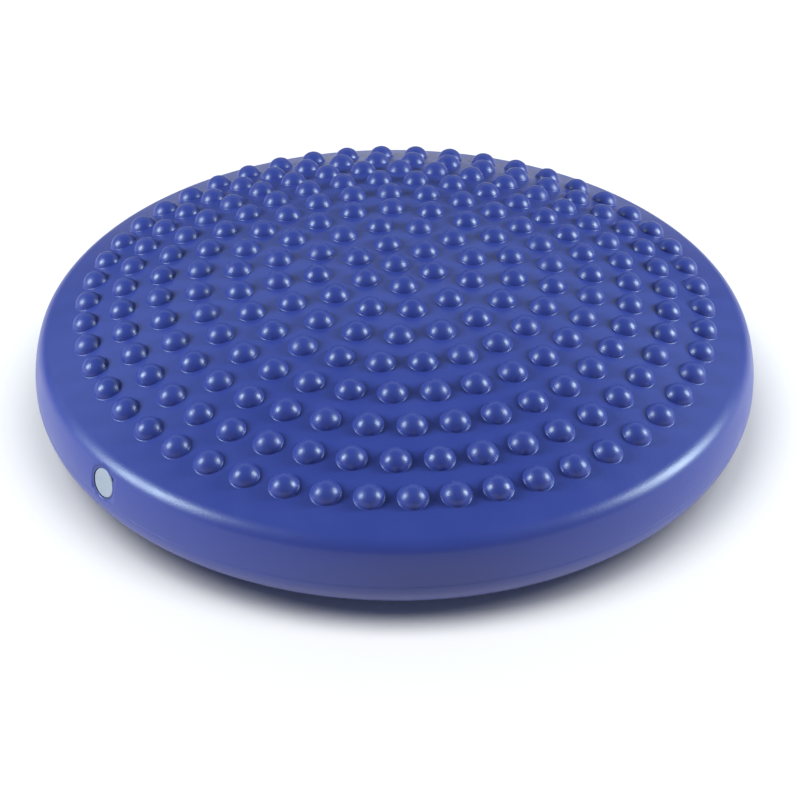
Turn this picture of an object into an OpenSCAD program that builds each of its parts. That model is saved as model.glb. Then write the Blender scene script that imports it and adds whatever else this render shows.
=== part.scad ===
// Inflatable balance cushion with a nubbed crown, in millimetres.
// Two soft PVC mouldings are welded together at the foot of the rim wall, and a stopper in the
// rim closes the filling hole. The origin is the middle of the foot, +Z is up, and the
// stopper faces -Y and a little upwards.

/* [Rim] */
// Outside diameter, at the seam
rim_d = 330; // [329:0.5:331]
// Height of the seam, where the rim wall starts
seam_h = 27.5; // [27:0.1:28]
// Radius of the wall's bulge
wall_r = 47.5; // [46:0.5:49]
// How far from the vertical the wall faces where the rim's upper edge starts
wall_turn = 72; // [71:0.5:73]
// Outside radius of the rim's upper edge
shoulder_r = 9; // [8.6:0.1:9.4]
// Outside radius of the rim's lower edge
corner_r = 15; // [12:0.5:16]
// Thickness of both mouldings
skin_t = 3.5; // [2.5:0.1:4.5]

/* [Crown] */
// Height of the bare crown above the floor
crown_h = 76; // [75.8:0.1:76.2]
// Radius at which the flatter middle of the crown ends
middle_r = 62.6; // [61.6:0.1:63.4]
// Height of the crown there
middle_h = 72.9; // [72.7:0.1:73.1]
// Radius at which the plain sloping apron outside the nubs starts
apron_r = 132.6; // [131.6:0.1:133.6]
// Height of the apron there
apron_h = 56.8; // [56.6:0.1:57]

/* [Nubs] */
// Number of nub rings around the middle nub
ring_count = 8; // [3:1:8]
// Distance between rings, measured along the skin
nub_pitch = 17.87; // [17.6:0.01:17.9]
// Diameter of a nub where it leaves the skin
nub_d = 12.6; // [8:0.1:12.8]
// Height of a nub above the skin
nub_h = 5; // [3:0.1:5.6]

/* [Underside] */
// Diameter of the flat that the cushion rests on
foot_d = 110; // [90:1:120]
// Number of low grip ribs around the foot
rib_count = 4; // [1:1:5]
// Height of a grip rib
rib_h = 0.8; // [0.4:0.1:1.0]

/* [Valve] */
// Height of the stopper's middle above the floor
valve_h = 36.4; // [35.8:0.1:36.8]
// Diameter of the stopper's head
head_d = 13; // [11:0.1:13.2]
// Thickness of the stopper's head
head_t = 2.2; // [1.6:0.1:2.4]
// Diameter of the filling hole
bore_d = 7; // [6:0.1:8]
// Outside diameter of the sleeve that the hole runs through
sleeve_d = 15; // [14.8:0.1:15.4]
// Length of the sleeve
sleeve_l = 16; // [15:0.5:20]

/* [Hidden] */

skin_colour = "#4052A4";
sleeve_colour = "#39499A";
plug_colour = "#C3CDD2";

rim_r = rim_d / 2;

// Points of the half section, as [radius, height]: the apron ends on the rim's upper edge and
// the underside's dish on its lower edge, where each edge faces this far from the vertical.
edge_turn = 24;
dish_edge_turn = 160;
crown_top = [0, crown_h];
middle_end = [middle_r, middle_h];
apron_start = [apron_r, apron_h];
wall_c = [rim_r - wall_r, seam_h];
shoulder_c = wall_c + (wall_r - shoulder_r) * ray(wall_turn);
apron_end = shoulder_c + shoulder_r * ray(edge_turn);
corner_c = [rim_r - corner_r, seam_h];
dish_end = corner_c + corner_r * ray(dish_edge_turn);
foot_edge = [foot_d / 2, 0];

// The crown's middle, its flank and the dish are parts of balls centred on the axis.
middle_c = [0, ball_height(crown_top, middle_end)];
middle_ball = crown_h - middle_c[1];
flank_c = [0, ball_height(middle_end, apron_start)];
flank_ball = norm(apron_start - flank_c);
dish_c = [0, ball_height(foot_edge, dish_end)];
dish_ball = norm(foot_edge - dish_c);
apron_way = (apron_end - apron_start) / norm(apron_end - apron_start);
apron_turn = -atan2(apron_way[1], apron_way[0]);

// Lengths along the skin from the pole to the ends of the middle and of the flank
deg = PI / 180;
middle_turn = asin(middle_r / middle_ball);
flank_turn = asin(middle_r / flank_ball);
middle_s = middle_ball * middle_turn * deg;
flank_s = middle_s + flank_ball * (asin(apron_r / flank_ball) - flank_turn) * deg;

// How far each ring is turned from the stopper's side, in parts of its own step
ring_turn = [0, 0, 0.5, 0, 0.09, 0.34, 0.77, 0.1];
valve_side = -90;
// Radius of the ball that a nub is the cap of, and how deep its root reaches into the skin
nub_ball = (pow(nub_d / 2, 2) + pow(nub_h, 2)) / (2 * nub_h);
nub_root = 1.8;

rib_pitch = 15;
rib_clear = 25;

// The valve is square to the rim wall at its height.
valve_turn = acos((valve_h - seam_h) / wall_r);
valve_at = wall_c + wall_r * ray(valve_turn);
// The stopper's head lies in a recess, sunk a little below the rim.
head_sink = 0.5;
head_edge = 0.5;
head_play = 0.2;
recess_t = head_t + head_sink;
recess_r = head_d / 2 + head_play;
sleeve_r = sleeve_d / 2;
bore_r = bore_d / 2;
// The shank is clear of the filling hole, and its barbs nearly fill it.
shank_play = 0.3;
barb_play = 0.05;
shank_r = bore_r - shank_play;
barb_r = bore_r - barb_play;
barb_l = 2.4;
barb_pitch = 2 * barb_l;
barb_count = 2;
// Its tapered tip ends just short of the sleeve's inner end.
tip_clear = 0.5;
tip_taper = 0.9;
tip_r = shank_r - tip_taper;
tip_l = 2;
shank_l = sleeve_l - recess_t - tip_clear;
// A fingertip notch beside the head, for lifting the stopper out
notch_r = 1.5;
notch_turn = 40;
notch_t = 1.9;

// Longer than the valve, for cuts that pass right through
through = 40;
// Facets of the skins, of the valve and of small rounds
$fn = 180;
valve_fn = 64;
small_fn = 32;

function ray(turn) = [sin(turn), cos(turn)];

// Height of the centre of a ball on the axis whose surface passes through two points
function ball_height(a, b) = (a * a - b * b) / (2 * (a[1] - b[1]));

// The skin's slope and its [radius, height] at the length s along it from the pole
function skin_turn(s) =
    s <= middle_s ? s / middle_ball / deg :
    s <= flank_s ? flank_turn + (s - middle_s) / flank_ball / deg :
    apron_turn;
function skin_point(s) =
    s <= middle_s ? middle_c + middle_ball * ray(skin_turn(s)) :
    s <= flank_s ? flank_c + flank_ball * ray(skin_turn(s)) :
    apron_start + (s - flank_s) * apron_way;

// Half section of the rim, drawn in by inset: a bulging wall with a rounded upper edge
module rim_section(inset) {
    intersection() {
        translate(wall_c) circle(wall_r - inset);
        polygon([wall_c, wall_c + [rim_r, 0], wall_c + rim_r * ray(wall_turn)]);
    }
    translate([0, seam_h]) square([shoulder_c[0], crown_h]);
    translate(shoulder_c) circle(shoulder_r - inset);
}

// Everything on the axis side of the apron's slope, drawn in by inset
module under_apron(inset) {
    shift = -inset * ray(apron_turn);
    polygon([
        [0, 0], [rim_r, 0],
        apron_end + rim_r * apron_way + shift, apron_start - rim_r * apron_way + shift
    ]);
}

// Half section of everything above the seam, drawn in by inset
module upper_section(inset) {
    intersection() {
        rim_section(inset);
        under_apron(inset);
        translate(flank_c) circle(flank_ball - inset);
        translate(middle_c) circle(middle_ball - inset);
    }
}

// Half section of everything below the seam, drawn in by inset
module lower_section(inset) {
    intersection() {
        union() {
            translate([0, inset]) square([corner_c[0], seam_h - inset]);
            translate(corner_c) circle(corner_r - inset);
        }
        translate([0, inset]) square([rim_r, seam_h - inset]);
        translate(dish_c) circle(dish_ball - inset);
    }
}

// A nub standing on the skin, with its root at the origin's level or just below it
module nub() {
    rotate_extrude($fn = small_fn) intersection() {
        translate([0, nub_h - nub_ball]) circle(nub_ball);
        translate([0, -nub_root]) square([nub_ball, nub_h + nub_root]);
    }
}

// Each ring holds as many nubs as its length has room for at the same pitch.
module nub_ring(ring) {
    s = ring * nub_pitch;
    count = max(1, floor(2 * PI * ring));
    turn = ring == 0 ? 0 : ring_turn[ring - 1];
    at = skin_point(s);
    for (i = [0 : count - 1])
        rotate([0, 0, valve_side + (i + turn) * 360 / count])
            translate([at[0], 0, at[1]])
                rotate([0, skin_turn(s), 0])
                    nub();
}

// Places its child on the valve's axis, with +Z outwards and 0 at the floor of the recess
module at_valve() {
    translate([0, -valve_at[0], valve_at[1]])
        rotate([valve_turn, 0, 0])
            translate([0, 0, -recess_t])
                children();
}

module pry_notch() {
    rotate([0, 0, notch_turn])
        translate([recess_r, 0, recess_t - notch_t])
            cylinder(r = notch_r, h = notch_t + head_edge, $fn = small_fn);
}

module upper_skin() {
    color(skin_colour) difference() {
        union() {
            rotate_extrude() difference() {
                upper_section(0);
                upper_section(skin_t);
            }
            for (ring = [0 : ring_count]) nub_ring(ring);
        }
        at_valve() {
            translate([0, 0, -through / 2]) cylinder(r = sleeve_r, h = through, $fn = valve_fn);
            pry_notch();
        }
    }
}

module lower_skin() {
    color(skin_colour) rotate_extrude() {
        difference() {
            lower_section(0);
            lower_section(skin_t);
        }
        for (i = [0 : rib_count - 1]) {
            turn = 180 - asin((foot_edge[0] + rib_clear + i * rib_pitch) / dish_ball);
            translate(dish_c + dish_ball * ray(turn)) circle(rib_h, $fn = small_fn);
        }
    }
}

// The sleeve's outer end follows the rim, and its inner end is free in the air chamber.
module valve_sleeve() {
    color(sleeve_colour) difference() {
        intersection() {
            at_valve()
                translate([0, 0, recess_t - sleeve_l])
                    cylinder(r = sleeve_r, h = through, $fn = valve_fn);
            rotate_extrude() {
                upper_section(0);
                square([shoulder_c[0], valve_h]);
            }
        }
        at_valve() {
            cylinder(r = recess_r, h = through, $fn = valve_fn);
            translate([0, 0, -through]) cylinder(r = bore_r, h = 2 * through, $fn = valve_fn);
            pry_notch();
        }
    }
}

module valve_plug() {
    color(plug_colour) at_valve() rotate_extrude($fn = valve_fn) {
        square([head_d / 2 - head_edge, head_t]);
        square([head_d / 2, head_t - head_edge]);
        translate([head_d / 2 - head_edge, head_t - head_edge]) circle(head_edge, $fn = small_fn);
        polygon([
            [0, -shank_l], [tip_r, -shank_l],
            [shank_r, tip_l - shank_l], [shank_r, head_edge], [0, head_edge]
        ]);
        for (i = [1 : barb_count])
            translate([0, -i * barb_pitch])
                polygon([[0, 0], [shank_r, 0], [barb_r, barb_l], [0, barb_l]]);
    }
}

upper_skin();
lower_skin();
valve_sleeve();
valve_plug();
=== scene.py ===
"""The looks of an inflatable balance cushion: two soft mouldings, a filling valve and its stopper.

Lengths are in metres. The origin is the middle of the foot, +Z is up and the stopper faces -Y.
"""

import math

import bpy
from mathutils import Matrix, Vector
from mathutils.geometry import delaunay_2d_cdt


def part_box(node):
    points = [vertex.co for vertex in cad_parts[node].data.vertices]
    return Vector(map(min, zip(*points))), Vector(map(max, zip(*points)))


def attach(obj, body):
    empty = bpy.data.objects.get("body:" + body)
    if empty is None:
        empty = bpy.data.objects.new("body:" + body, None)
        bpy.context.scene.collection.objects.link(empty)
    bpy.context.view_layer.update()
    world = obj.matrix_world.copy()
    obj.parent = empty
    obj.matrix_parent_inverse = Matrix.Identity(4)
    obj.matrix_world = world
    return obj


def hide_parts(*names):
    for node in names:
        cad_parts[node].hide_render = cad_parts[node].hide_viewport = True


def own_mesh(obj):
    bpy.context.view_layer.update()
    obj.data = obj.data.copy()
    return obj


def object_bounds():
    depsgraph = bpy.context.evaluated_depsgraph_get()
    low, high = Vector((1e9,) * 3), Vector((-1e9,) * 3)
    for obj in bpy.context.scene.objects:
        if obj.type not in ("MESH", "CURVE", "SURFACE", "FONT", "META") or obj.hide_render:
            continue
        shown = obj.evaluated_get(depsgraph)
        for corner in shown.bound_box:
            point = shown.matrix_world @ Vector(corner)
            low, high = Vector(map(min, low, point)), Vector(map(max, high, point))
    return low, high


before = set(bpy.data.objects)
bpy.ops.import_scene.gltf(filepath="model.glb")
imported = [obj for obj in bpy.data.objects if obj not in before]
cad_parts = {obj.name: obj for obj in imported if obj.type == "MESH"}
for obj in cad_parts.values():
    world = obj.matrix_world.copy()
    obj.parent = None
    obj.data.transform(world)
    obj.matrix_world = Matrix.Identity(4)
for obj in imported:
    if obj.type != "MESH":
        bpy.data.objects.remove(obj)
cad_low, cad_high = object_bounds()

MM = 0.001
DEG = math.pi / 180

# Sizes of the two mouldings
NUB_D = 12.6 * MM
NUB_H = 5 * MM
NUB_FOOT_R = 0.5 * MM
NUB_PITCH = 17.87 * MM
RING_COUNT = 8
# How far each ring is turned from the valve's side, in parts of its own step
RING_TURN = (0, 0, 0.5, 0, 0.09, 0.34, 0.77, 0.1)
RIM_R = cad_high.x
CROWN_H = cad_high.z - NUB_H
SEAM_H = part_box("lower_skin")[1].z
SKIN_T = 3.5 * MM
WALL_R = 47.5 * MM
WALL_TURN = 72 * DEG
SHOULDER_R = 9 * MM
CORNER_R = 15 * MM
FLANK_R = 300 * MM
APRON_TURN = 20 * DEG
APRON_L = 24.4 * MM
DISH_TURN = 10.97 * DEG
SEAM_ROUND = 0.1 * MM
RIB_H = 0.8 * MM
RIB_HALF_W = 1.5 * MM
RIB_RADII = [r * MM for r in (80, 95, 110, 125)]

# Sizes of the valve, which lies on the side at VALVE_SIDE and is square to the wall at its height
VALVE_SIDE = -90 * DEG
VALVE_H = 36.4 * MM
VALVE_TURN = math.acos((VALVE_H - SEAM_H) / WALL_R)
HEAD_R = 6.5 * MM
HEAD_T = 2.2 * MM
HEAD_SINK = 0.5 * MM
HEAD_EDGE = 0.5 * MM
HEAD_DISH = 0.12 * MM
# The head's face is dished over this part of its radius.
HEAD_DISH_SHARE = 0.8
RECESS_R = 6.7 * MM
SLEEVE_R = 7.5 * MM
NOTCH_R = 1.5 * MM
NOTCH_T = 1.9 * MM
NOTCH_TURN = 40 * DEG
SHANK_R = 3.2 * MM
SHANK_L = 12.8 * MM
BARB_R = 3.45 * MM
BARB_L = 2.4 * MM
BARB_COUNT = 2
TIP_R = 2.3 * MM
TIP_L = 2 * MM
# Radius of the stopper's small rounds, and how far in from the corner their middle lies, in parts of it
SMALL_R = HEAD_EDGE / 3
SMALL_ROUND_IN = 0.3

# How finely the pieces are meshed: columns around the axis, and rows on each stretch
COLUMNS = 360
APRON_ROWS = 4
SHOULDER_ROWS = 14
WALL_ROWS = 7
SEAM_ROWS = 3
CORNER_ROWS = 16
RIB_GAP_ROWS = 4
RIB_ROWS = 12
DISH_ROWS = 40
INNER_CROWN_ROWS = 20
INNER_SHOULDER_ROWS = 6
INNER_DISH_ROWS = 24
INNER_CORNER_ROWS = 8
NUB_SIDES = 24
NUB_FOOT_ROWS = 6
NUB_CAP_ROWS = 8
HEAD_FACE_ROWS = 8
HEAD_EDGE_ROWS = 6
HOLE_SIDES = 60
FILL_STEP = 4.5 * MM

# The valve's hole is fitted into a window in the rows and columns, this many columns to either side of it.
WINDOW = 7
# The inner window reaches this far over the apron.
WINDOW_OVER_APRON = 13 * MM
# Points of the rows and columns stay this clear of the hole.
HOLE_CLEAR = 1 * MM

# Radii below AXIS_R are on the axis, and places closer than SAME_PLACE are one.
AXIS_R = MM / 1000
SAME_PLACE = MM / 1e5
# Play for rounding when rows are told apart by their length along the skin
ROW_PLAY = MM / 10
# How often a search halves its range
HALVINGS = 50


def skin_stretches():
    """The outline from the pole to the middle of the foot, as stretches of (length, first turn, last turn).

    A turn of 0 runs level outwards, a quarter turn runs straight down and a half turn runs level inwards.
    """
    apron_out, apron_up = math.sin(APRON_TURN), math.cos(APRON_TURN)
    wall_out, wall_up = math.sin(WALL_TURN), math.cos(WALL_TURN)
    rim_across = WALL_R * (1 - wall_out) + SHOULDER_R * (wall_out - apron_out)
    rim_down = WALL_R * wall_up + SHOULDER_R * (apron_up - wall_up)
    across = RIM_R - FLANK_R * apron_out - APRON_L * apron_up - rim_across
    down = CROWN_H - SEAM_H - FLANK_R * (1 - apron_up) - APRON_L * apron_out - rim_down
    crown_turn = 2 * math.atan2(down, across)
    crown_r = FLANK_R + across / math.sin(crown_turn)
    dish_edge_r = RIM_R - CORNER_R * (1 - math.sin(DISH_TURN))
    upright, level_in = math.pi / 2, math.pi
    dish_start = level_in - DISH_TURN
    return {
        "crown": (crown_r * crown_turn, 0, crown_turn),
        "flank": (FLANK_R * (APRON_TURN - crown_turn), crown_turn, APRON_TURN),
        "apron": (APRON_L, APRON_TURN, APRON_TURN),
        "shoulder": (SHOULDER_R * (WALL_TURN - APRON_TURN), APRON_TURN, WALL_TURN),
        "wall": (WALL_R * (upright - WALL_TURN), WALL_TURN, upright),
        "corner": (CORNER_R * (dish_start - upright), upright, dish_start),
        "dish": (dish_edge_r / math.sin(DISH_TURN) * DISH_TURN, dish_start, level_in),
    }


STRETCHES = skin_stretches()


def end_of(name):
    """Length along the skin from the pole to the end of a stretch."""
    names = list(STRETCHES)
    return sum(STRETCHES[n][0] for n in names[: names.index(name) + 1])


def skin_at(s, inset=0.0):
    """Radius, height and turn at the length s along the skin, drawn in by inset. The foot is flat."""
    r, z, turn = 0.0, CROWN_H, 0.0
    for length, start, end in STRETCHES.values():
        step = min(s, length)
        turn = start + (end - start) * step / length
        if start == end:
            r += step * math.cos(turn)
            z -= step * math.sin(turn)
        else:
            bend_r = length / (end - start)
            r += bend_r * (math.sin(turn) - math.sin(start))
            z += bend_r * (math.cos(turn) - math.cos(start))
        s -= step
        if s <= 0:
            break
    return max(r - inset * math.sin(turn), 0.0), max(z - inset * math.cos(turn), inset), turn


def skin_length(height, inset=0.0):
    """Length along the skin at which the upper moulding comes down to a height."""
    near, far = 0.0, end_of("wall")
    for _ in range(HALVINGS):
        middle = (near + far) / 2
        if skin_at(middle, inset)[1] > height:
            near = middle
        else:
            far = middle
    return near


def round_the_axis(r, z, angle):
    """The vector with a radius, a height and an angle round the axis."""
    return Vector((r * math.cos(angle), r * math.sin(angle), z))


def steps(start, end, count):
    """Evenly spaced values from start to end, without start."""
    return [start + (end - start) * i / count for i in range(1, count + 1)]


class Moulding:
    """Points, normals and faces of one piece while it is built. A normal of 0 is left to the faces."""

    def __init__(self):
        self.points, self.normals, self.faces = [], [], []

    def add(self, point, normal=(0, 0, 0)):
        """Adds a point and returns its number."""
        self.points.append(point)
        self.normals.append(normal)
        return len(self.points) - 1

    def ring(self, r, z, turn=None):
        """A level ring of points from the valve's side round, or one point on the axis."""
        if r < AXIS_R:
            return [self.add(Vector((0, 0, z)))] * COLUMNS
        angles = [VALVE_SIDE + 2 * math.pi * i / COLUMNS for i in range(COLUMNS)]
        made = []
        for a in angles:
            normal = (0, 0, 0) if turn is None else round_the_axis(math.sin(turn), math.cos(turn), a)
            made.append(self.add(round_the_axis(r, z, a), normal))
        return made

    def face(self, *corners):
        """A face without the corners that repeat, if enough are left."""
        left = list(dict.fromkeys(corners))
        if len(left) > 2:
            self.faces.append(left)

    def bridge(self, upper, lower, skip=()):
        """Faces between two closed loops of as many points, without the columns in skip."""
        count = len(upper)
        for i in range(count):
            if i not in skip:
                j = (i + 1) % count
                self.face(upper[i], lower[i], lower[j], upper[j])

    def fill(self, flat, loops):
        """Triangles over the points of flat, {point: place on a plane}, but not inside the loops."""
        points = list(flat)
        order = {point: i for i, point in enumerate(points)}
        edges = [(order[a], order[b]) for loop in loops for a, b in zip(loop, loop[1:] + loop[:1])]
        loop_of = {point: n for n, loop in enumerate(loops) for point in loop}
        places = [flat[p] for p in points]
        _, _, triangles, sources, _, _ = delaunay_2d_cdt(places, edges, [], 0, SAME_PLACE)
        for triangle in triangles:
            corners = [points[sources[i][0]] for i in triangle]
            owners = {loop_of.get(c) for c in corners}
            if len(owners) > 1 or None in owners:
                self.face(*corners)

    def build(self, name, material, crisp=40 * DEG):
        """The finished object, without points that no face uses. Edges sharper than crisp stay crisp."""
        used = sorted({c for face in self.faces for c in face})
        order = {point: i for i, point in enumerate(used)}
        mesh = bpy.data.meshes.new(name)
        faces = [[order[c] for c in face] for face in self.faces]
        mesh.from_pydata([self.points[p] for p in used], [], faces, shade_flat=False)
        mesh.set_sharp_from_angle(angle=crisp)
        mesh.normals_split_custom_set_from_vertices([self.normals[p] for p in used])
        mesh.materials.append(material)
        piece = bpy.data.objects.new(name, mesh)
        bpy.context.scene.collection.objects.link(piece)
        return piece


def nub_outline():
    """A nub's half section from its fillet to its top, as (radius, height, normal outwards, normal up)."""
    ball_r = ((NUB_D / 2) ** 2 + NUB_H**2) / (2 * NUB_H)
    ball_z = NUB_H - ball_r
    reach = math.sqrt((ball_r + NUB_FOOT_R) ** 2 - (NUB_FOOT_R - ball_z) ** 2)
    lift = math.atan2(NUB_FOOT_R - ball_z, reach)
    outline = []
    for b in [0] + steps(0, math.pi / 2 - lift, NUB_FOOT_ROWS):
        out, up = math.sin(b), math.cos(b)
        outline.append((reach - NUB_FOOT_R * out, NUB_FOOT_R * (1 - up), out, up))
    for e in steps(lift, math.pi / 2, NUB_CAP_ROWS):
        out, up = math.cos(e), math.sin(e)
        outline.append((ball_r * out, ball_z + ball_r * up, out, up))
    return outline


def skin_over(flat):
    """Point and normal on the crown over a place on the flat pattern, which is unrolled from the pole."""
    r, z, turn = skin_at(flat.length)
    angle = math.atan2(flat.y, flat.x)
    return round_the_axis(r, z, angle), round_the_axis(math.sin(turn), math.cos(turn), angle)


def add_nub(skin, flat_of, s, angle):
    """Adds one nub at the length s from the pole, and returns the loop where its fillet meets the skin."""
    out = Vector((math.cos(angle), math.sin(angle)))
    along = Vector((-math.sin(angle), math.cos(angle)))
    stretch = s / skin_at(s)[0] if s else 1
    middle = s * out
    _, axis = skin_over(middle)
    loops = []
    for r, height, normal_out, normal_up in nub_outline():
        loop = []
        sides = NUB_SIDES if r > AXIS_R else 1
        for i in range(sides):
            a = 2 * math.pi * i / sides
            flat = middle + r * (math.cos(a) * out + stretch * math.sin(a) * along)
            point, level = skin_over(flat)
            outwards = round_the_axis(math.cos(a), 0, angle) + math.sin(a) * along.to_3d()
            outwards = (outwards - outwards.dot(axis) * axis).normalized()
            normal = normal_up * (axis if loops else level) + normal_out * outwards
            loop.append(skin.add(point + height * axis, normal.normalized()))
            if not loops:
                flat_of[loop[-1]] = flat
        loops.append(loop * (NUB_SIDES // sides))
    for outer, inner in zip(loops, loops[1:]):
        skin.bridge(inner, outer)
    return loops[0]


def add_nubbed_crown(skin):
    """Adds the crown with all its nubs, and returns its edge halfway past the last ring of nubs."""
    flat_of, loops = {}, []

    def add_flat(s, angle):
        flat = s * Vector((math.cos(angle), math.sin(angle)))
        point = skin.add(*skin_over(flat))
        flat_of[point] = flat
        return point

    for ring in range(RING_COUNT + 1):
        s = ring * NUB_PITCH
        count = max(1, math.floor(2 * math.pi * ring))
        first = RING_TURN[ring - 1] if ring else 0
        for i in range(count):
            step = 2 * math.pi / count
            loops.append(add_nub(skin, flat_of, s, VALVE_SIDE + (i + first) * step))
            if ring:
                add_flat(s, VALVE_SIDE + (i + first + 0.5) * step)
        past = s + NUB_PITCH / 2
        around = COLUMNS if ring == RING_COUNT else round(2 * math.pi * past / FILL_STEP)
        edge = [add_flat(past, VALVE_SIDE + 2 * math.pi * i / around) for i in range(around)]
    skin.fill(flat_of, loops)
    return edge


# The valve's own frame: its origin is on the rim wall, and its z axis points straight out of it
VALVE_FRAME = Matrix.Translation(
    round_the_axis(RIM_R - WALL_R * (1 - math.sin(VALVE_TURN)), VALVE_H, VALVE_SIDE)
) @ Matrix.Rotation(VALVE_TURN, 4, "X")


def valve_to_skin(x, y, inset):
    """The skin's point at x, y in the valve's frame, drawn in by inset, and its place on the flat wall."""
    low, high = -2 * SLEEVE_R, SLEEVE_R
    for _ in range(HALVINGS):
        z = (low + high) / 2
        point = VALVE_FRAME @ Vector((x, y, z))
        s = skin_length(point.z, inset)
        if point.xy.length < skin_at(s, inset)[0]:
            low = z
        else:
            high = z
    return point, Vector((math.atan2(point.x, -point.y) * RIM_R, s))


def hole_loop(skin, radius_at, inset=None, depth=None):
    """A loop round the valve's axis, as {point: place on the flat wall}.

    It lies on the skin drawn in by inset, or level at a depth in from the rim.
    """
    loop = {}
    for i in range(HOLE_SIDES):
        a = 2 * math.pi * i / HOLE_SIDES
        x, y = radius_at(a) * math.cos(a), radius_at(a) * math.sin(a)
        if inset is None:
            loop[skin.add(VALVE_FRAME @ Vector((x, y, -depth)))] = None
        else:
            point, flat = valve_to_skin(x, y, inset)
            loop[skin.add(point)] = flat
    return loop


def valve_hole_r(_):
    """Radius of the valve's hole, which is the same at every angle."""
    return SLEEVE_R


def notched_hole_r(a):
    """Radius of the valve's hole where a fingertip notch widens it."""
    off = a - NOTCH_TURN
    chord = NOTCH_R**2 - (RECESS_R * math.sin(off)) ** 2
    notch = RECESS_R * math.cos(off) + math.sqrt(chord) if chord > 0 and math.cos(off) > 0 else 0
    return max(SLEEVE_R, notch)


def add_pierced_band(skin, rings, lengths, hole, inside):
    """Bridges a stack of rings and fits the valve's hole into a window in those that have a length."""
    first = next(i for i, s in enumerate(lengths) if s is not None)
    last = max(i for i, s in enumerate(lengths) if s is not None)
    window = [i % COLUMNS for i in range(-WINDOW, WINDOW)]
    for i, (upper, lower) in enumerate(zip(rings, rings[1:])):
        skin.bridge(upper, lower, window if first <= i < last else ())
    to_valve = VALVE_FRAME.inverted()
    flat = dict(hole)
    for i in range(first, last + 1):
        for column in range(-WINDOW, WINDOW + 1):
            place = Vector((column * 2 * math.pi / COLUMNS * RIM_R, lengths[i]))
            on_edge = i in (first, last) or abs(column) == WINDOW
            off_axis = (to_valve @ skin.points[rings[i][column]]).xy.length
            if on_edge or off_axis > SLEEVE_R + HOLE_CLEAR:
                flat[rings[i][column]] = place
    start = len(skin.faces)
    skin.fill(flat, [list(hole)])
    if not inside:
        for face in skin.faces[start:]:
            face.reverse()


def seam_round(b, side):
    """Radius and height on the seam's rounded lip, above the seam for a side of 1 and below it for -1."""
    return RIM_R - SEAM_ROUND * (1 - math.cos(b)), SEAM_H + side * SEAM_ROUND * (1 - math.sin(b))


def upper_moulding(material):
    """The nubbed crown, the apron, the shoulder and the wall down to the seam, hollow and pierced."""
    skin = Moulding()
    shoulder, wall, seam = end_of("apron"), end_of("shoulder"), end_of("wall")
    edge = add_nubbed_crown(skin)
    crown_edge = (RING_COUNT + 0.5) * NUB_PITCH

    outside = steps(crown_edge, shoulder, APRON_ROWS) + steps(shoulder, wall, SHOULDER_ROWS)
    outside += steps(wall, seam - SEAM_ROUND, WALL_ROWS)
    rings = [edge] + [skin.ring(*skin_at(s)) for s in outside]
    lengths = [None if s < shoulder - ROW_PLAY else s for s in [crown_edge] + outside]
    for b in steps(0, math.pi / 2, SEAM_ROWS):
        rings.append(skin.ring(*seam_round(b, 1)))
        lengths.append(None)
    outer_hole = hole_loop(skin, notched_hole_r, inset=0.0)
    add_pierced_band(skin, rings, lengths, outer_hole, inside=False)

    inside = [seam] + steps(seam, wall, WALL_ROWS) + steps(wall, shoulder, INNER_SHOULDER_ROWS)
    inside += steps(shoulder, 0, INNER_CROWN_ROWS)
    inner_rings = [skin.ring(*skin_at(s, SKIN_T)[:2]) for s in inside]
    inner_lengths = [s if s > shoulder - WINDOW_OVER_APRON else None for s in inside]
    skin.bridge(rings[-1], inner_rings[0])
    inner_hole = hole_loop(skin, valve_hole_r, inset=SKIN_T)
    add_pierced_band(skin, inner_rings, inner_lengths, inner_hole, inside=True)

    notch_wall = list(hole_loop(skin, notched_hole_r, depth=NOTCH_T))
    notch_floor = list(hole_loop(skin, valve_hole_r, depth=NOTCH_T))
    for i in range(HOLE_SIDES):
        if notched_hole_r(2 * math.pi * i / HOLE_SIDES) == SLEEVE_R:
            notch_floor[i] = notch_wall[i]
    loops = [list(inner_hole), notch_floor, notch_wall, list(outer_hole)]
    for deep, shallow in zip(loops, loops[1:]):
        skin.bridge(deep, shallow)
    return skin.build("upper_moulding", material)


def rib_rise(off):
    """Height of a grip rib at a distance from its middle, with soft feet."""
    return RIB_H * (1 + math.cos(math.pi * off / RIB_HALF_W)) / 2


def lower_moulding(material):
    """The rim's lower edge, the dished underside with its grip ribs and the flat foot, hollow."""
    skin = Moulding()
    seam, corner, middle = end_of("wall"), end_of("corner"), end_of("dish")
    dish_r = STRETCHES["dish"][0] / DISH_TURN
    rows = [(s, 0) for s in steps(seam + SEAM_ROUND, corner, CORNER_ROWS)]
    ribs = sorted(middle - dish_r * math.asin(r / dish_r) for r in RIB_RADII)
    for rib in ribs:
        rows += [(s, 0) for s in steps(rows[-1][0], rib - RIB_HALF_W, RIB_GAP_ROWS)]
        for off in steps(-RIB_HALF_W, RIB_HALF_W, RIB_ROWS):
            rows.append((rib + off, rib_rise(off)))
    rows += [(s, 0) for s in steps(rows[-1][0], middle, DISH_ROWS)]

    rings = []
    for b in [math.pi / 2] + steps(math.pi / 2, 0, SEAM_ROWS):
        rings.append(skin.ring(*seam_round(b, -1)))
    for s, rise in rows:
        r, z, turn = skin_at(s)
        rings.append(skin.ring(r + rise * math.sin(turn), z + rise * math.cos(turn)))
    rings.append(skin.ring(0, SKIN_T))
    for s in steps(middle, corner, INNER_DISH_ROWS) + steps(corner, seam, INNER_CORNER_ROWS):
        rings.append(skin.ring(*skin_at(s, SKIN_T)[:2]))
    for a, b in zip(rings, rings[1:] + rings[:1]):
        skin.bridge(a, b)
    return skin.build("lower_moulding", material)


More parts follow.
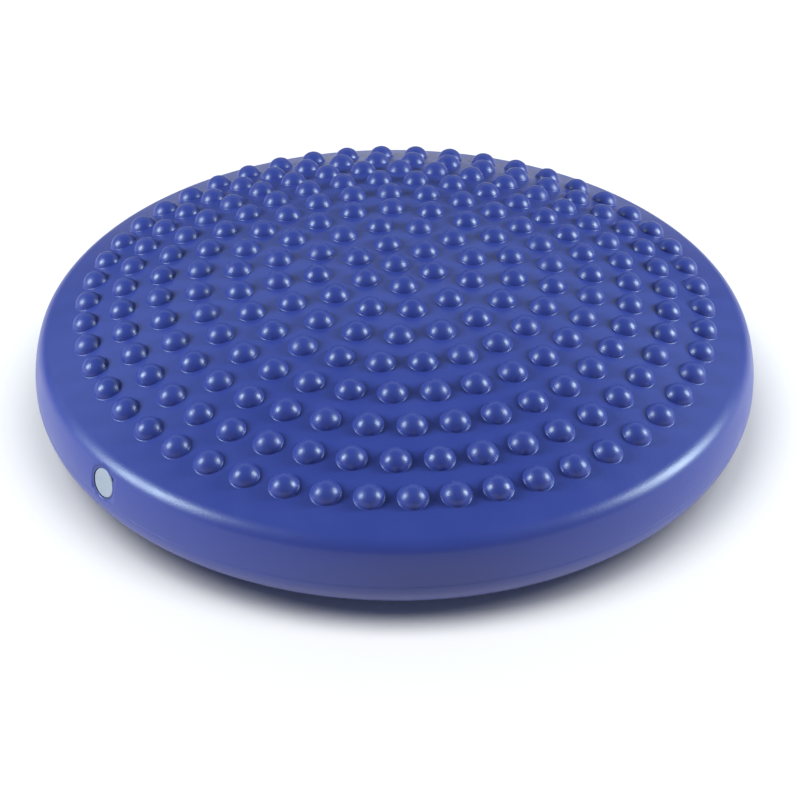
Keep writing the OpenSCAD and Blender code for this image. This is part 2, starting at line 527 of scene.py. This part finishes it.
def plug_outline():
    """The stopper's half section from its face to its tip, as (radius, length out of the recess)."""
    face = []
    for i in range(HEAD_FACE_ROWS + 1):
        out = i / HEAD_FACE_ROWS
        face.append((HEAD_R * HEAD_DISH_SHARE * out, HEAD_T - HEAD_DISH * (1 - out**2)))
    edge = [
        (HEAD_R - HEAD_EDGE * (1 - math.sin(b)), HEAD_T - HEAD_EDGE * (1 - math.cos(b)))
        for b in [0] + steps(0, math.pi / 2, HEAD_EDGE_ROWS)
    ]
    back = [
        (HEAD_R, SMALL_R),
        (HEAD_R - SMALL_R * SMALL_ROUND_IN, SMALL_R * SMALL_ROUND_IN),
        (HEAD_R - SMALL_R, 0),
        (SHANK_R + SMALL_R, 0),
    ]
    shank = [(SHANK_R, -SMALL_R)]
    for barb in range(BARB_COUNT):
        top = -(2 * barb + 1) * BARB_L
        shank += [
            (SHANK_R, top + SMALL_R / 2),
            (BARB_R - SMALL_R / 4, top),
            (BARB_R, top - SMALL_R),
            (SHANK_R, top - BARB_L),
        ]
    tip = [
        (SHANK_R, TIP_L - SHANK_L),
        (TIP_R + SMALL_R, SMALL_R - SHANK_L),
        (TIP_R - SMALL_R, -SHANK_L),
        (0, -SHANK_L),
    ]
    return face + edge + back + shank + tip


def stopper(material):
    """The stopper, turned so that its head faces out of the rim."""
    plug = Moulding()
    rings = [plug.ring(r, z) for r, z in plug_outline()]
    for a, b in zip(rings, rings[1:]):
        plug.bridge(a, b)
    seat = VALVE_FRAME @ Matrix.Translation((0, 0, -HEAD_T - HEAD_SINK))
    plug.points = [seat @ p for p in plug.points]
    return plug.build("stopper", material, crisp=50 * DEG)


def linear(code):
    """An sRGB hex colour as linear RGBA."""
    parts = [int(code[i : i + 2], 16) / 255 for i in (1, 3, 5)]
    return [c / 12.92 if c <= 0.04045 else ((c + 0.055) / 1.055) ** 2.4 for c in parts] + [1.0]


def add(tree, kind, inputs=None, **settings):
    """Adds a node. An input that is a socket is linked, and any other is set."""
    made = tree.nodes.new(kind)
    for name, value in settings.items():
        setattr(made, name, value)
    for name, value in (inputs or {}).items():
        if isinstance(value, bpy.types.NodeSocket):
            tree.links.new(value, made.inputs[name])
        else:
            made.inputs[name].default_value = value
    return made


def new_material(name):
    """An empty material and its node tree."""
    material = bpy.data.materials.new(name)
    material.use_nodes = True
    material.node_tree.nodes.clear()
    return material, material.node_tree


def per_metre(size_mm):
    """Scale of a pattern whose features are this many millimetres across."""
    return 1 / (size_mm * MM)


# Sizes of the patterns in the materials
CLOUD_MM = 22
WAVE_MM = 16
# The blasted finish is finer than this. It is drawn as coarse as it needs to show.
GRAIN_MM = 0.9
FLOW_MM = 5
PLUG_GRAIN_MM = 0.5

# How far the roughness goes to either side of its mean, over the values that a noise pattern mostly has
GLOSS_SPREAD = 0.04
NOISE_LOW = 0.3
NOISE_HIGH = 0.7


def soft_pvc(name, pale, deep, roughness):
    """Soft PVC, moulded in a finely blasted tool: an even, deep colour under a semi-gloss skin.

    Its faint grain breaks a bright reflection into specks, and slow waves show where it cooled unevenly.
    """
    material, tree = new_material(name)
    place = add(tree, "ShaderNodeTexCoord").outputs["Object"]
    cloud = add(tree, "ShaderNodeTexNoise", {"Vector": place, "Scale": per_metre(CLOUD_MM), "Detail": 3.0})
    grain = add(tree, "ShaderNodeTexNoise", {"Vector": place, "Scale": per_metre(GRAIN_MM), "Detail": 2.0})
    waves = add(tree, "ShaderNodeTexNoise", {"Vector": place, "Scale": per_metre(WAVE_MM), "Detail": 1.0})
    colour = add(
        tree,
        "ShaderNodeMix",
        {0: cloud.outputs["Fac"], 6: linear(deep), 7: linear(pale)},
        data_type="RGBA",
    )
    gloss = add(
        tree,
        "ShaderNodeMapRange",
        {
            "Value": cloud.outputs["Fac"],
            "From Min": NOISE_LOW,
            "From Max": NOISE_HIGH,
            "To Min": roughness - GLOSS_SPREAD,
            "To Max": roughness + GLOSS_SPREAD,
        },
    )
    waved = add(
        tree, "ShaderNodeBump", {"Height": waves.outputs["Fac"], "Strength": 0.5, "Distance": 0.12 * MM}
    )
    grained = add(
        tree,
        "ShaderNodeBump",
        {
            "Height": grain.outputs["Fac"],
            "Strength": 0.8,
            "Distance": 0.08 * MM,
            "Normal": waved.outputs["Normal"],
        },
    )
    shader = add(
        tree,
        "ShaderNodeBsdfPrincipled",
        {
            "Base Color": colour.outputs[2],
            "Roughness": gloss.outputs["Result"],
            "IOR": 1.5,
            "Normal": grained.outputs["Normal"],
        },
    )
    add(tree, "ShaderNodeOutputMaterial", {"Surface": shader.outputs["BSDF"]})
    return material


def polythene(name, pale, deep):
    """Polythene, injection moulded: a milky pale grey, satin, with the faintest flow marks."""
    material, tree = new_material(name)
    place = add(tree, "ShaderNodeTexCoord").outputs["Object"]
    flow = add(
        tree,
        "ShaderNodeTexNoise",
        {"Vector": place, "Scale": per_metre(FLOW_MM), "Detail": 3.0, "Distortion": 0.6},
    )
    grain = add(
        tree,
        "ShaderNodeTexNoise",
        {"Vector": place, "Scale": per_metre(PLUG_GRAIN_MM), "Detail": 2.0},
    )
    colour = add(
        tree,
        "ShaderNodeMix",
        {0: flow.outputs["Fac"], 6: linear(deep), 7: linear(pale)},
        data_type="RGBA",
    )
    grained = add(
        tree, "ShaderNodeBump", {"Height": grain.outputs["Fac"], "Strength": 0.4, "Distance": 0.02 * MM}
    )
    shader = add(
        tree,
        "ShaderNodeBsdfPrincipled",
        {
            "Base Color": colour.outputs[2],
            "Roughness": 0.42,
            "IOR": 1.5,
            "Subsurface Weight": 0.15,
            "Subsurface Radius": (1.0, 1.0, 1.0),
            "Subsurface Scale": 1.5 * MM,
            "Normal": grained.outputs["Normal"],
        },
    )
    add(tree, "ShaderNodeOutputMaterial", {"Surface": shader.outputs["BSDF"]})
    return material


def white_board(name):
    """Painted board for the floor: matt and plain white."""
    material, tree = new_material(name)
    shader = add(
        tree,
        "ShaderNodeBsdfPrincipled",
        {"Base Color": linear("#F7F7F7"), "Roughness": 0.9, "Specular IOR Level": 0.1},
    )
    add(tree, "ShaderNodeOutputMaterial", {"Surface": shader.outputs["BSDF"]})
    return material


# The pieces, on the bodies that carry them
skin_pvc = soft_pvc("soft_pvc_moulded", pale="#343E87", deep="#2F3980", roughness=0.36)
sleeve_pvc = soft_pvc("soft_pvc_sleeve", pale="#30397D", deep="#2B3576", roughness=0.39)
plug_polythene = polythene("polythene_moulded", pale="#9698A3", deep="#8C8F9A")

upper = upper_moulding(skin_pvc)
lower = lower_moulding(skin_pvc)
plug = stopper(plug_polythene)
for piece, body, node, slot in (
    (upper, "cushion", "upper_skin", "skin"),
    (lower, "base", "lower_skin", "skin"),
    (plug, "plug", "valve_plug", "plug"),
):
    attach(piece, body)
    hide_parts(node)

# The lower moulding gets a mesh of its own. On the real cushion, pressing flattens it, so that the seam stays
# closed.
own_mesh(lower)

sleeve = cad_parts["valve_sleeve"]
sleeve.data.materials.clear()
sleeve.data.materials.append(sleeve_pvc)

# The camera stands at the photograph's angle and aims close to the middle of the foot.
CAMERA_TURN = 48.05 * DEG
CAMERA_OUT = 782.2 * MM
CAMERA_UP = 566.7 * MM
CAMERA_ROLL = 0.4 * DEG
CAMERA_LENS_MM = 91.96
CAMERA_SENSOR_MM = 36
AIM_RIGHT = 2.5 * MM
AIM_UP = 0.8 * MM

view_right = Vector((math.cos(CAMERA_TURN), math.sin(CAMERA_TURN), 0))
view_away = Vector((-math.sin(CAMERA_TURN), math.cos(CAMERA_TURN), 0))


def studio(right, away, up):
    """A place as the camera sees it: to its right, away from it and up, from the middle of the foot."""
    return right * view_right + away * view_away + Vector((0, 0, up))


def aimed(place, target):
    """The matrix of a camera or lamp that stands at a place and points at a target."""
    turn = (target - place).to_track_quat("-Z", "Y").to_matrix().to_4x4()
    return Matrix.Translation(place) @ turn


camera = bpy.data.objects.new("camera", bpy.data.cameras.new("camera"))
bpy.context.scene.collection.objects.link(camera)
camera.data.lens = CAMERA_LENS_MM
camera.data.sensor_width = CAMERA_SENSOR_MM
camera_aim = aimed(studio(0, -CAMERA_OUT, CAMERA_UP), studio(AIM_RIGHT, 0, AIM_UP))
camera.matrix_world = camera_aim @ Matrix.Rotation(CAMERA_ROLL, 4, "Z")
bpy.context.scene.camera = camera

# The floor reaches past everything in view.
FLOOR_HALF = 30.0
floor_mesh = bpy.data.meshes.new("floor")
floor_mesh.from_pydata(
    [(x * FLOOR_HALF, y * FLOOR_HALF, 0) for x, y in ((-1, -1), (1, -1), (1, 1), (-1, 1))], [], [(0, 1, 2, 3)]
)
floor_mesh.materials.append(white_board("white_board"))
floor = bpy.data.objects.new("floor", floor_mesh)
bpy.context.scene.collection.objects.link(floor)

# The lamps stand this far from the cushion and point at its middle. What lights the cushion is a cool white.
LAMP_OUT = 1.5
LAMP_AIM_UP = 50 * MM
STUDIO_TINT = (0.78, 0.96, 1.04)


def lamp(name, kind, place, on_floor, **settings):
    """A lamp that points at the cushion and lights either the floor alone or everything else."""
    light = bpy.data.lights.new(name, kind)
    for setting, value in settings.items():
        setattr(light, setting, value)
    made = bpy.data.objects.new(name, light)
    bpy.context.scene.collection.objects.link(made)
    made.matrix_world = aimed(place, studio(0, 0, LAMP_AIM_UP))
    lit = bpy.data.collections.new(name + "_lights")
    lit.objects.link(floor)
    lit.collection_objects[0].light_linking.link_state = "INCLUDE" if on_floor else "EXCLUDE"
    made.light_linking.receiver_collection = lit


def round_about(side, up, distance):
    """A place at an angle clockwise from straight behind the cushion, and at an angle above the floor."""
    level = distance * math.cos(up)
    return studio(level * math.sin(side), level * math.cos(side), distance * math.sin(up))


def softbox_watts(level, width, height):
    """Power of a softbox of this brightness and size, in watts."""
    return level * math.pi * width * height


# Two upright softboxes stand beside the cushion.
for name, side, up, width, height, level in (
    ("softbox_left", -102 * DEG, 32 * DEG, 0.42, 0.7, 32.0),
    ("softbox_right", 90 * DEG, 27 * DEG, 0.43, 0.7, 32.0),
):
    lamp(
        name,
        "AREA",
        round_about(side, up, LAMP_OUT),
        on_floor=False,
        shape="RECTANGLE",
        size=width,
        size_y=height,
        energy=softbox_watts(level, width, height),
        color=STUDIO_TINT,
    )

# Two broad lights fall on the floor alone and leave a soft shadow around the rim.
FLOOR_LIGHT_UP = 65 * DEG
FLOOR_LIGHT_SPREAD = 36 * DEG
for name, side, strength in (
    ("floor_light_left", -128 * DEG, 1.85),
    ("floor_light_right", 128 * DEG, 1.45),
):
    lamp(
        name,
        "SUN",
        round_about(side, FLOOR_LIGHT_UP, LAMP_OUT),
        on_floor=True,
        angle=FLOOR_LIGHT_SPREAD,
        energy=strength,
    )

# Levels of the surround, and the soft edges of its screen, each from where it is dim to where it is bright.
# The foot and the top are angles above the floor. The sides are cosines of the angle from straight ahead.
ROOM_LEVEL = 0.14
SCREEN_LEVEL = 0.95
SCREEN_FOOT_LEVEL = 0.095
SCREEN_FOOT = (16 * DEG, 28 * DEG)
SCREEN_TOP = (52 * DEG, 40 * DEG)
SCREEN_SIDES = (0.1, 0.5)


def studio_surround():
    """A dim room with a pale screen behind the cushion."""
    world = bpy.data.worlds.new("studio")
    world.use_nodes = True
    tree = world.node_tree
    tree.nodes.clear()
    towards = add(tree, "ShaderNodeTexCoord").outputs["Generated"]
    height = add(tree, "ShaderNodeSeparateXYZ", {"Vector": towards}).outputs["Z"]
    ahead = add(tree, "ShaderNodeVectorMath", {0: towards, 1: view_away}, operation="DOT_PRODUCT")
    level = SCREEN_LEVEL
    for value, (dim_at, bright_at), dim_level in (
        (height, [math.sin(a) for a in SCREEN_FOOT], SCREEN_FOOT_LEVEL),
        (ahead.outputs["Value"], SCREEN_SIDES, ROOM_LEVEL),
        (height, [math.sin(a) for a in SCREEN_TOP], ROOM_LEVEL),
    ):
        edge = add(
            tree,
            "ShaderNodeMapRange",
            {"Value": value, "From Min": dim_at, "From Max": bright_at, "To Min": dim_level, "To Max": level},
            interpolation_type="SMOOTHSTEP",
        )
        level = edge.outputs["Result"]
    light = add(tree, "ShaderNodeBackground", {"Color": (*STUDIO_TINT, 1), "Strength": level})
    add(tree, "ShaderNodeOutputWorld", {"Surface": light.outputs["Background"]})
    bpy.context.scene.world = world


studio_surround()

bpy.context.scene.view_settings.view_transform = "Standard"
